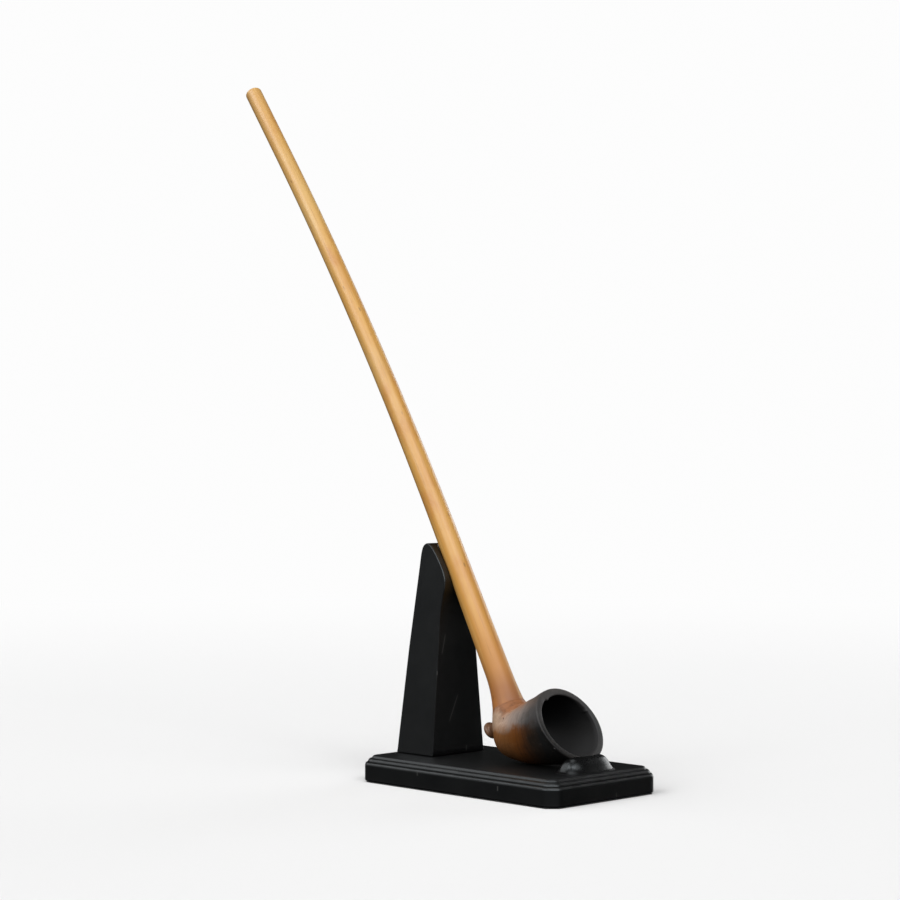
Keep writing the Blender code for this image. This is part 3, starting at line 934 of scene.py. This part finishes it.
def black_lacquer(name, scratches=(), top_sheen=False, matt=0.0):
    """Satin black lacquer on wood: faint brush marks, a painted sheen on the plinth's top, and
    paler worn edges, on the plinth's ridges a painted highlight too.
    """
    finish = Finish(name)
    cloud = finish.noise(finish.place, 45.0, 4.0)
    fine = finish.noise(finish.place, 900.0, 3.0)
    grain = finish.noise(finish.stretch(finish.place, (1.0, 1.0, 0.12)), 420.0, 4.0)
    colour = finish.ramp(cloud, [(0.3, (0.0020, 0.0020, 0.0021)), (0.7, (0.0034, 0.0033, 0.0033))])
    patchy = finish.remap(finish.noise(finish.place, 160.0, 4.0), 0.42, 0.62)
    # Paler worn edges: real wear, and on the plinth's ridges also a painted highlight.
    worn_and_sheen = finish.times(finish.field("wear"), patchy)
    colour = finish.blend(finish.times(worn_and_sheen, 0.25), colour, (0.07, 0.07, 0.072))
    # Painted sheen: the plinth's top made paler along its front, where it reflects the light.
    if top_sheen:
        colour = finish.blend(lacquer_top_sheen(finish, cloud), colour, (0.0085, 0.0085, 0.0090))
    for start, end, width in scratches:
        mark = scratch(finish, Vector(start) * MM, Vector(end) * MM, width * MM)
        colour = finish.blend(finish.times(mark, 0.8), colour, (0.06, 0.06, 0.058))
    rough = finish.plus(finish.times(cloud, 0.12), LACQUER_ROUGHNESS + matt)
    rough = finish.plus(rough, finish.times(fine, 0.05))
    finish.set(base_color=colour, roughness=rough, specular_ior_level=0.45)
    finish.set(specular_tint=(0.88, 0.96, 1.0))
    surface = finish.plus(finish.times(fine, 0.3), grain)
    finish.bump(surface, 0.00005, 0.5)
    return finish.material


# Colour along the stem, from its foot at 0 to its tip at 1.
STEM_STOPS = [
    (0.0, (0.255, 0.102, 0.037)),
    (0.022, (0.325, 0.131, 0.040)),
    (0.05, (0.47, 0.210, 0.056)),
    (0.11, (0.55, 0.265, 0.062)),
    (0.22, (0.58, 0.295, 0.066)),
    (0.50, (0.60, 0.310, 0.068)),
    (0.80, (0.61, 0.332, 0.084)),
    (1.0, (0.58, 0.320, 0.098)),
]


def stem_colour(finish, grain, along, streak):
    """Honey wood with long streaks, red mottling, pale patches, dark fibres and specks."""
    fibre = finish.noise(finish.stretch(grain, (900.0, 900.0, 30.0)), 1.0, 2.0, 0.5)
    mottle = finish.noise(finish.stretch(grain, (70.0, 70.0, 28.0)), 1.0, 3.0, 0.55)
    patch = finish.noise(finish.stretch(grain, (35.0, 35.0, 11.0)), 1.0, 3.0, 0.5)
    colour = finish.ramp(along, STEM_STOPS)
    colour = finish.blend(finish.remap(streak, 0.44, 0.7, 0.0, 0.5), colour, (0.66, 0.39, 0.115))
    colour = finish.blend(finish.remap(mottle, 0.48, 0.72, 0.0, 0.62), colour, (0.46, 0.17, 0.03))
    above_foot = finish.remap(along, 0.15, 0.4)
    pale = finish.times(finish.remap(patch, 0.48, 0.70, 0.0, 0.6), above_foot)
    colour = finish.blend(pale, colour, (0.64, 0.43, 0.16))
    colour = finish.blend(finish.remap(fibre, 0.56, 0.75, 0.0, 0.3), colour, (0.24, 0.09, 0.025))
    speck = finish.node("ShaderNodeTexVoronoi")
    finish.join(finish.stretch(grain, (1.0, 1.0, 0.35)), speck.inputs["Vector"])
    speck.inputs["Scale"].default_value = 170.0
    dots = finish.remap(speck.outputs["Distance"], 0.04, 0.12, 0.5, 0.0)
    return finish.blend(dots, colour, (0.16, 0.06, 0.02))


def stem_wood():
    """Polished honey wood, reddish and duller at the foot."""
    finish = Finish("stem_wood_polished")
    grain = finish.field("grain", vector=True)
    along = finish.math("DIVIDE", finish.separate(grain)[2], STEM_LENGTH)
    streak = finish.noise(finish.stretch(grain, (260.0, 260.0, 9.0)), 1.0, 2.0, 0.5, 0.3)
    ripple = finish.noise(finish.stretch(grain, (120.0, 120.0, 16.0)), 1.0, 0.0)
    rough = finish.plus(finish.times(streak, 0.2), 0.30)
    rough = finish.plus(rough, finish.remap(along, 0.02, 0.16, 0.16, 0.0))
    colour = stem_colour(finish, grain, along, streak)
    finish.set(base_color=colour, roughness=rough, specular_ior_level=0.4)
    finish.set(coat_weight=finish.remap(along, 0.06, 0.30, 0.06, 0.42), coat_roughness=0.30)
    finish.bump(ripple, 0.00012, 0.5)
    return finish.material


# Marks on the bowl, in millimetres: a dark nick on the heel and a pale one on the rim.
HEEL_NICK = ((8.9, -12.5, 40.1), (11.0, -13.0, 38.0), 0.6)
RIM_NICK = ((52.1, -18.8, 27.8), (52.9, -18.3, 27.1), 0.5)


# Colours along the bowl, from the heel at 0 to the rim at 1: of the amber wood below, and of
# the greyed wood above it, whose pale heel end holds a painted highlight.
AMBER_STOPS = [
    (0.10, (0.22, 0.088, 0.026)),
    (0.24, (0.17, 0.068, 0.018)),
    (0.42, (0.130, 0.042, 0.006)),
    (0.58, (0.078, 0.026, 0.005)),
    (0.74, (0.020, 0.011, 0.006)),
    (0.88, (0.008, 0.008, 0.008)),
]
GREYED_SHEEN_STOPS = [
    (0.10, (0.42, 0.285, 0.195)),
    (0.22, (0.39, 0.270, 0.200)),
    (0.36, (0.26, 0.195, 0.160)),
    (0.52, (0.115, 0.097, 0.088)),
    (0.68, (0.052, 0.049, 0.048)),
    (0.90, (0.026, 0.026, 0.027)),
]
# Soot in the chamber, darkened towards the roof as painted shade, from its floor at 0 to its roof
# at 1.
SOOT_AND_SHADE_STOPS = [
    (0.0, (0.0185, 0.0185, 0.0190)),
    (0.22, (0.0135, 0.0135, 0.0140)),
    (0.40, (0.0080, 0.0080, 0.0082)),
    (0.55, (0.0042, 0.0042, 0.0043)),
    (0.75, (0.0018, 0.0018, 0.0019)),
    (1.0, (0.0008, 0.0008, 0.0009)),
]
BOWL_REACH = 0.05  # how far the bowl reaches forward of the origin


def bowl_body_colour(finish, x, z, wander, ragged):
    """Amber below and greyed above, parted by a ragged line that rises a little forwards; the
    greyed part holds a painted highlight too.
    """
    forward = finish.math("DIVIDE", finish.plus(x, wander), BOWL_REACH)
    amber = finish.ramp(forward, AMBER_STOPS)
    greyed_and_sheen = finish.ramp(forward, GREYED_SHEEN_STOPS)
    # Painted shade: the amber darkened towards the bottom, where the bowl sits down in the cradle.
    low = finish.remap(z, 0.014, 0.030, 0.25, 0.0)
    amber = finish.blend(low, amber, (0.02, 0.008, 0.002))
    level = finish.minus(z, finish.times(x, 0.15))
    # Greyed wood above the line, partly a painted highlight where the heel faces the light.
    handled_and_sheen = finish.remap(finish.plus(level, ragged), 0.029, 0.0355)
    return finish.blend(handled_and_sheen, amber, greyed_and_sheen)


def bowl_neck(finish, colour, x, wander, ragged):
    """The neck keeps the stem's warm brown down to a ragged line below the joint."""
    drop = finish.node("ShaderNodeVectorMath", operation="DOT_PRODUCT")
    finish.join(finish.place, drop.inputs[0])
    finish.join(FOOT_AXIS, drop.inputs[1])
    below = finish.minus(JOINT_CENTRE.dot(FOOT_AXIS), drop.outputs["Value"])
    reach = finish.remap(x, 0.001, 0.009, 0.0015, 0.0075)
    past = finish.plus(finish.minus(below, reach), wander)
    past = finish.plus(past, finish.times(ragged, 0.35))
    neck = finish.remap(past, -0.0030, 0.0016, 1.0, 0.0)
    neck = finish.times(neck, finish.remap(x, 0.018, 0.026, 1.0, 0.0))
    return finish.blend(neck, colour, (0.255, 0.104, 0.042))


def bowl_marks(finish, colour, blotch, fine, turned):
    """Dark blotches, turning streaks, pale fibres and two nicks, over a colour."""
    shade = finish.remap(blotch, 0.5, 0.72, 0.0, 0.7)
    colour = finish.blend(shade, colour, (0.46, 0.42, 0.38), "MULTIPLY")
    colour = finish.blend(turned, colour, (0.58, 0.54, 0.50), "MULTIPLY")
    pale = finish.remap(fine, 0.58, 0.75, 0.0, 0.10)
    colour = finish.blend(pale, colour, (0.26, 0.20, 0.15), "SCREEN")
    for (start, end, width), tone in ((HEEL_NICK, (0.05, 0.02, 0.01)), (RIM_NICK, (0.2, 0.2, 0.2))):
        mark = scratch(finish, Vector(start) * MM, Vector(end) * MM, width * MM)
        colour = finish.blend(finish.times(mark, 0.85), colour, tone)
    return colour


def bowl_soot_and_painted_light(finish, colour, soot, place):
    """A painted sheen on the rim, palest on its +Y side, and soot with painted shade that is
    darkest at the chamber's roof.
    """
    x, y, z = place
    # Painted reflection: the rim's forward +Y side made paler.
    rim_sheen = finish.times(finish.remap(x, 0.036, 0.048), finish.remap(y, -0.010, 0.016))
    colour = finish.blend(finish.times(rim_sheen, 0.6), colour, (0.055, 0.055, 0.056))
    # Painted shade: the sooty chamber darker towards its roof, where the wall faces down.
    soot_and_shade = finish.ramp(finish.remap(z, 0.022, 0.044, kind="LINEAR"), SOOT_AND_SHADE_STOPS)
    return finish.blend(soot, colour, soot_and_shade)


def turning_lines(finish, cloud):
    """Fine rings that the turner's tool left round the bowl."""
    turning = finish.node("ShaderNodeTexNoise", noise_dimensions="1D")
    wavy = finish.plus(finish.field("along"), finish.times(cloud, 0.05))
    finish.join(wavy, turning.inputs["W"])
    turning.inputs["Scale"].default_value = 34.0
    turning.inputs["Detail"].default_value = 5.0
    return turning.outputs["Fac"]


def bowl_wood():
    """Dry waxed wood: amber below, greyed above with a painted highlight, smoked black at the rim,
    a painted sheen on the rim and painted shade in the chamber.
    """
    finish = Finish("bowl_wood_smoked")
    x, y, z = finish.separate(finish.place)
    cloud = finish.noise(finish.place, 55.0, 4.0, 0.6)
    blotch = finish.noise(finish.place, 130.0, 5.0, 0.65)
    fine = finish.noise(finish.place, 650.0, 4.0, 0.6)
    turning = turning_lines(finish, cloud)
    wander = finish.times(finish.minus(cloud, 0.5), 0.016)
    ragged = finish.times(finish.minus(blotch, 0.5), 0.014)
    colour = bowl_body_colour(finish, x, z, wander, ragged)
    colour = bowl_neck(finish, colour, x, wander, ragged)
    turned = finish.times(finish.remap(turning, 0.48, 0.70), cloud)
    colour = bowl_marks(finish, colour, blotch, fine, turned)
    soot = finish.field("soot")
    colour = bowl_soot_and_painted_light(finish, colour, soot, (x, y, z))
    rough = finish.plus(finish.times(blotch, 0.22), 0.36)
    rough = finish.plus(rough, finish.times(soot, 0.25))
    finish.set(base_color=colour, roughness=rough, specular_ior_level=0.25)
    height = finish.plus(finish.times(fine, 0.4), blotch)
    height = finish.plus(height, finish.times(turning, 0.15))
    finish.bump(height, 0.00018, 0.6)
    return finish.material


def plain_wood(name, dark, light):
    """Waxed wood with upright grain between two colours, and darker clouds."""
    finish = Finish(name)
    grain = finish.noise(finish.stretch(finish.place, (1.0, 1.0, 0.1)), 600.0, 4.0, 0.6)
    cloud = finish.noise(finish.place, 150.0, 3.0)
    colour = finish.ramp(grain, [(0.35, dark), (0.65, light)])
    colour = finish.blend(finish.remap(cloud, 0.45, 0.7, 0.0, 0.35), colour, dark)
    rough = finish.plus(finish.times(grain, 0.2), 0.34)
    finish.set(base_color=colour, roughness=rough)
    finish.bump(grain, 0.0001, 0.5)
    return finish.material


def felt():
    """Black baize with a fuzzy nap."""
    finish = Finish("black_baize")
    fuzz = finish.noise(finish.place, 2600.0, 5.0, 0.7)
    colour = finish.ramp(fuzz, [(0.3, (0.008, 0.008, 0.009)), (0.7, (0.03, 0.03, 0.032))])
    finish.set(base_color=colour, roughness=0.95, sheen_weight=0.3)
    finish.bump(fuzz, 0.0003, 0.8)
    return finish.material


def zinc():
    """Plated steel with faint turning marks."""
    finish = Finish("zinc_plate")
    turning = finish.noise(finish.stretch(finish.place, (1.0, 1.0, 8.0)), 500.0, 3.0)
    colour = finish.ramp(turning, [(0.3, (0.45, 0.45, 0.43)), (0.7, (0.66, 0.66, 0.63))])
    rough = finish.plus(finish.times(turning, 0.25), 0.25)
    finish.set(base_color=colour, roughness=rough, metallic=1.0)
    finish.bump(turning, 0.00005, 0.4)
    return finish.material


def dress(piece, material):
    """Give a piece one material in place of its own."""
    piece.data.materials.clear()
    piece.data.materials.append(material)


# --- Studio and camera ------------------------------------

CAMERA_PLACE = Vector((0.8640, -0.8956, 0.1808))
CAMERA_HEADING = 45.38  # degrees from +Y towards -X
CAMERA_TILT = 90.07  # degrees from straight down
CAMERA_LENS = 92.0
SENSOR_WIDTH = 36.0


def make_camera():
    camera = bpy.data.objects.new("camera", bpy.data.cameras.new("camera"))
    bpy.context.scene.collection.objects.link(camera)
    camera.data.lens = CAMERA_LENS
    camera.data.sensor_width = SENSOR_WIDTH
    camera.data.clip_start = 0.01
    camera.location = CAMERA_PLACE
    camera.rotation_euler = (math.radians(CAMERA_TILT), 0.0, math.radians(CAMERA_HEADING))
    bpy.context.scene.camera = camera


# Soft lamps far away: azimuth and elevation of each in degrees, and its strength.
SOFT_LAMPS = [
    (-120.0, 36.0, 0.20),
    (-90.0, 36.0, 0.39),
    (-60.0, 36.0, 0.20),
    (-30.0, 36.0, 0.46),
    (0.0, 36.0, 0.19),
    (90.0, 12.0, 0.31),
    (-150.0, 12.0, 0.03),
    (-165.0, 36.0, 0.17),
    (0.0, 90.0, 0.14),
]
LAMP_WIDTH = 38.0  # degrees across, as the object sees it
WORLD_LIGHT = 0.02
PALE = 0.98
FLOOR_SHADE = 0.78
FLOOR_RADIUS = 8.0
SURROUND_RADIUS = 12.0
FADE_START = 0.35  # metres from the origin at which the floor starts to fade into the surround
FADE_END = 1.6


def make_lamps():
    for index, (azimuth, elevation, strength) in enumerate(SOFT_LAMPS):
        lamp = bpy.data.objects.new(f"lamp_{index}", bpy.data.lights.new(f"lamp_{index}", "SUN"))
        bpy.context.scene.collection.objects.link(lamp)
        around, up = math.radians(azimuth), math.radians(elevation)
        flat = math.cos(up)
        way = Vector((math.cos(around) * flat, math.sin(around) * flat, math.sin(up)))
        lamp.rotation_euler = way.to_track_quat("Z", "Y").to_euler()
        lamp.data.angle = math.radians(LAMP_WIDTH)
        lamp.data.energy = math.pi * strength


def only_seen(piece):
    """Leave a backdrop in the picture, and out of the light on the object."""
    piece.visible_diffuse = False
    piece.visible_glossy = False
    piece.visible_transmission = False
    piece.visible_shadow = False


def stage_mesh(name, build, finish):
    """A backdrop mesh, which build makes in an empty bmesh."""
    shape = bmesh.new()
    build(shape)
    mesh = bpy.data.meshes.new(name)
    shape.to_mesh(mesh)
    shape.free()
    made = bpy.data.objects.new(name, mesh)
    bpy.context.scene.collection.objects.link(made)
    dress(made, finish.material)
    finish.material.cycles.emission_sampling = "NONE"  # it lights nothing, so no rays are spent
    only_seen(made)


def make_world():
    """A little light all round, and colours shown as they are."""
    bpy.context.scene.view_settings.view_transform = "Standard"
    world = bpy.data.worlds.new("studio")
    bpy.context.scene.world = world
    world.use_nodes = True
    background = world.node_tree.nodes["Background"]
    background.inputs["Color"].default_value = (1.0, 1.0, 1.0, 1.0)
    background.inputs["Strength"].default_value = WORLD_LIGHT


def sphere(shape):
    bmesh.ops.create_icosphere(shape, subdivisions=4, radius=SURROUND_RADIUS)


def disc(shape):
    bmesh.ops.create_circle(shape, cap_ends=True, segments=128, radius=FLOOR_RADIUS)


def make_surround():
    """A pale glowing sphere round everything."""
    surround = Finish("pale_surround")
    surround.set(base_color=(0.0, 0.0, 0.0), specular_ior_level=0.0)
    surround.set(emission_color=(PALE, PALE, PALE), emission_strength=1.0)
    stage_mesh("surround", sphere, surround)


def make_floor():
    """A pale floor that fades into the surround."""
    floor = Finish("pale_floor")
    reach = floor.node("ShaderNodeVectorMath", operation="LENGTH")
    floor.join(floor.place, reach.inputs[0])
    far = floor.remap(reach.outputs["Value"], FADE_START, FADE_END)
    near = floor.minus(1.0, far)
    shade = floor.times(near, FLOOR_SHADE)
    mixed = floor.node("ShaderNodeCombineXYZ")
    for socket in mixed.inputs:
        floor.join(shade, socket)
    floor.set(base_color=mixed.outputs[0], roughness=1.0, specular_ior_level=0.0)
    floor.set(emission_color=(PALE, PALE, PALE), emission_strength=far)
    stage_mesh("floor", disc, floor)


# --- Assembly ---------------------------------------------

make_camera()
make_world()
make_lamps()
make_surround()
make_floor()

plinth = make_plinth()
post = make_post()
stem = make_stem()
bowl = make_bowl()
knob = make_knob()
cradle = make_cradle(bowl)

dress(plinth[0], black_lacquer("black_lacquer_slab", SLAB_NICKS, matt=0.03))
dress(plinth[1], black_lacquer("black_lacquer_moulding", top_sheen=True, matt=0.04))
dress(cradle, black_lacquer("black_lacquer_cradle", matt=-0.06))
dress(post, black_lacquer("black_lacquer_post", POST_SCRATCHES))
dress(stem, stem_wood())
dress(bowl, bowl_wood())
dress(knob, plain_wood("knob_wood_waxed", (0.10, 0.045, 0.02), (0.20, 0.10, 0.05)))
dress(frame["nodes"]["tenon"], plain_wood("tenon_wood", (0.30, 0.15, 0.06), (0.48, 0.28, 0.12)))
dress(frame["nodes"]["felt_pad"], felt())
beech = plain_wood("dowel_beech", (0.45, 0.30, 0.17), (0.62, 0.46, 0.28))
metal = zinc()
for name, node in frame["nodes"].items():
    if "dowel" in name:
        dress(node, beech)
    if "screw" in name:
        dress(node, metal)
